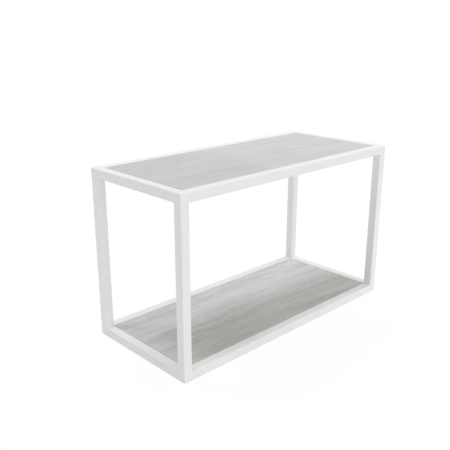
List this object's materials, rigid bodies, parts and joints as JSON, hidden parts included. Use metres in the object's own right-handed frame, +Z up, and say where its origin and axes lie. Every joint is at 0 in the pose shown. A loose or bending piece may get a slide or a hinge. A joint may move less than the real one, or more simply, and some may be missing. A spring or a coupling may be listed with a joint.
{
  "type": "console table",
  "caption": "Long open-box console table of white square steel tube, with a pale grey stone top and a matching low shelf set flush in the frame.",
  "frame": {"origin": "on the floor, at the middle of the footprint", "axes": "+X along the length, to the right seen from the front; +Y to the back; +Z up"},
  "size_m": [1.285, 0.575, 0.762],
  "materials": {
    "frame_paint": "satin white powder coat on mild steel, fine texture",
    "stone": "honed pale grey stone with soft linear veins along its length",
    "silicone": "clear soft silicone pad",
    "nylon": "white moulded nylon"
  },
  "bodies": {
    "root": {"post_front_left": "frame_paint", "post_front_right": "frame_paint", "post_back_left": "frame_paint", "post_back_right": "frame_paint", "top_rail_front": "frame_paint", "top_rail_back": "frame_paint", "top_rail_left": "frame_paint", "top_rail_right": "frame_paint", "shelf_rail_front": "frame_paint", "shelf_rail_back": "frame_paint", "shelf_rail_left": "frame_paint", "shelf_rail_right": "frame_paint", "top_plate_front_left": "frame_paint", "top_plate_front_right": "frame_paint", "top_plate_back_left": "frame_paint", "top_plate_back_right": "frame_paint", "base_plate_front_left": "frame_paint", "base_plate_front_right": "frame_paint", "base_plate_back_left": "frame_paint", "base_plate_back_right": "frame_paint", "top_welds": "frame_paint", "shelf_welds": "frame_paint", "top_ledge_front": "frame_paint", "top_ledge_back": "frame_paint", "top_ledge_left": "frame_paint", "top_ledge_right": "frame_paint", "shelf_ledge_front": "frame_paint", "shelf_ledge_back": "frame_paint", "shelf_ledge_left": "frame_paint", "shelf_ledge_right": "frame_paint", "top_bearer_left": "frame_paint", "top_bearer_right": "frame_paint", "shelf_bearer_left": "frame_paint", "shelf_bearer_right": "frame_paint", "top_pads": "silicone", "shelf_pads": "silicone", "top_panel": "stone", "shelf_panel": "stone", "glide_front_left": "nylon", "glide_front_right": "nylon", "glide_back_left": "nylon", "glide_back_right": "nylon"}
  },
  "joints": []
}
